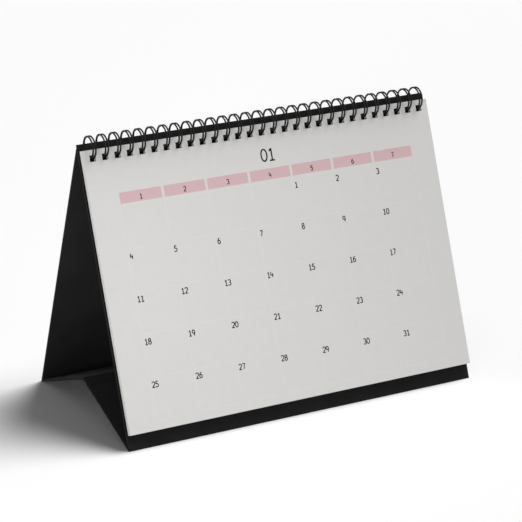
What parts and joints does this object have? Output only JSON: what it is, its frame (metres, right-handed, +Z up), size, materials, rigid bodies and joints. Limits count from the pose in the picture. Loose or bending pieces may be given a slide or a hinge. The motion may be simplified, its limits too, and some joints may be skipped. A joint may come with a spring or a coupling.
{
  "type": "desk calendar",
  "caption": "Free-standing tent desk calendar: folding black board stand with a raised base, and landscape month leaves that turn on a twin-loop wire along the top.",
  "frame": {"origin": "middle of the whole calendar's footprint, on the table", "axes": "+Z up, +X to the reader's right along the wire, the leaves face -Y"},
  "size_m": [0.2106, 0.1128, 0.1562],
  "materials": {
    "board": "matte black wrapped board",
    "crease": "matte black folded wrap",
    "paper": "uncoated white paper",
    "wire": "black coated steel wire"
  },
  "bodies": {
    "front": {"front_board": "board", "front_crease": "crease", "binding_wire": "wire"},
    "back": {"back_board": "board", "rear_crease": "crease"},
    "base_front": {"base_front_board": "board", "ridge_crease": "crease"},
    "base_rear": {"base_rear_board": "board"},
    "leaf_01": {"leaf_01": "paper"},
    "leaf_02": {"leaf_02": "paper"},
    "leaf_03": {"leaf_03": "paper"},
    "leaf_04": {"leaf_04": "paper"},
    "leaf_05": {"leaf_05": "paper"},
    "leaf_06": {"leaf_06": "paper"},
    "leaf_07": {"leaf_07": "paper"},
    "leaf_08": {"leaf_08": "paper"},
    "leaf_09": {"leaf_09": "paper"},
    "leaf_10": {"leaf_10": "paper"},
    "leaf_11": {"leaf_11": "paper"},
    "leaf_12": {"leaf_12": "paper"}
  },
  "joints": [
    {"name": "stand_fold", "type": "hinge", "parent": "front", "child": "back", "pos_m": [0, 0.00199, 0.1472], "axis": [-1, 0, 0], "range_deg": [0, 34.5], "deforming": ["ridge_crease"]},
    {"name": "base_front_fold", "type": "hinge", "parent": "front", "child": "base_front", "pos_m": [0, -0.05347, 0.0015], "axis": [1, 0, 0], "range_deg": [0, 47.9], "deforming": ["front_crease"]},
    {"name": "base_rear_fold", "type": "hinge", "parent": "back", "child": "base_rear", "pos_m": [0, 0.05441, 0.0015], "axis": [-1, 0, 0], "range_deg": [0, 47.9], "deforming": ["rear_crease"]},
    {"name": "leaf_12_turn", "type": "hinge", "parent": "front", "child": "leaf_12", "pos_m": [0, -0.00264, 0.14985], "axis": [-1, 0, 0], "range_deg": [0, 180]},
    {"name": "leaf_11_turn", "type": "hinge", "parent": "leaf_12", "child": "leaf_11", "pos_m": [0, -0.00264, 0.14985], "axis": [-1, 0, 0], "range_deg": [0, 180]},
    {"name": "leaf_10_turn", "type": "hinge", "parent": "leaf_11", "child": "leaf_10", "pos_m": [0, -0.00264, 0.14985], "axis": [-1, 0, 0], "range_deg": [0, 180]},
    {"name": "leaf_09_turn", "type": "hinge", "parent": "leaf_10", "child": "leaf_09", "pos_m": [0, -0.00264, 0.14985], "axis": [-1, 0, 0], "range_deg": [0, 180]},
    {"name": "leaf_08_turn", "type": "hinge", "parent": "leaf_09", "child": "leaf_08", "pos_m": [0, -0.00264, 0.14985], "axis": [-1, 0, 0], "range_deg": [0, 180]},
    {"name": "leaf_07_turn", "type": "hinge", "parent": "leaf_08", "child": "leaf_07", "pos_m": [0, -0.00264, 0.14985], "axis": [-1, 0, 0], "range_deg": [0, 180]},
    {"name": "leaf_06_turn", "type": "hinge", "parent": "leaf_07", "child": "leaf_06", "pos_m": [0, -0.00264, 0.14985], "axis": [-1, 0, 0], "range_deg": [0, 180]},
    {"name": "leaf_05_turn", "type": "hinge", "parent": "leaf_06", "child": "leaf_05", "pos_m": [0, -0.00264, 0.14985], "axis": [-1, 0, 0], "range_deg": [0, 180]},
    {"name": "leaf_04_turn", "type": "hinge", "parent": "leaf_05", "child": "leaf_04", "pos_m": [0, -0.00264, 0.14985], "axis": [-1, 0, 0], "range_deg": [0, 180]},
    {"name": "leaf_03_turn", "type": "hinge", "parent": "leaf_04", "child": "leaf_03", "pos_m": [0, -0.00264, 0.14985], "axis": [-1, 0, 0], "range_deg": [0, 180]},
    {"name": "leaf_02_turn", "type": "hinge", "parent": "leaf_03", "child": "leaf_02", "pos_m": [0, -0.00264, 0.14985], "axis": [-1, 0, 0], "range_deg": [0, 180]},
    {"name": "leaf_01_turn", "type": "hinge", "parent": "leaf_02", "child": "leaf_01", "pos_m": [0, -0.00264, 0.14985], "axis": [-1, 0, 0], "range_deg": [0, 180]}
  ],
  "couplings": [
    {"joint": "base_front_fold", "follows": "stand_fold", "ratio": 1.388},
    {"joint": "base_rear_fold", "follows": "stand_fold", "ratio": 1.388}
  ]
}
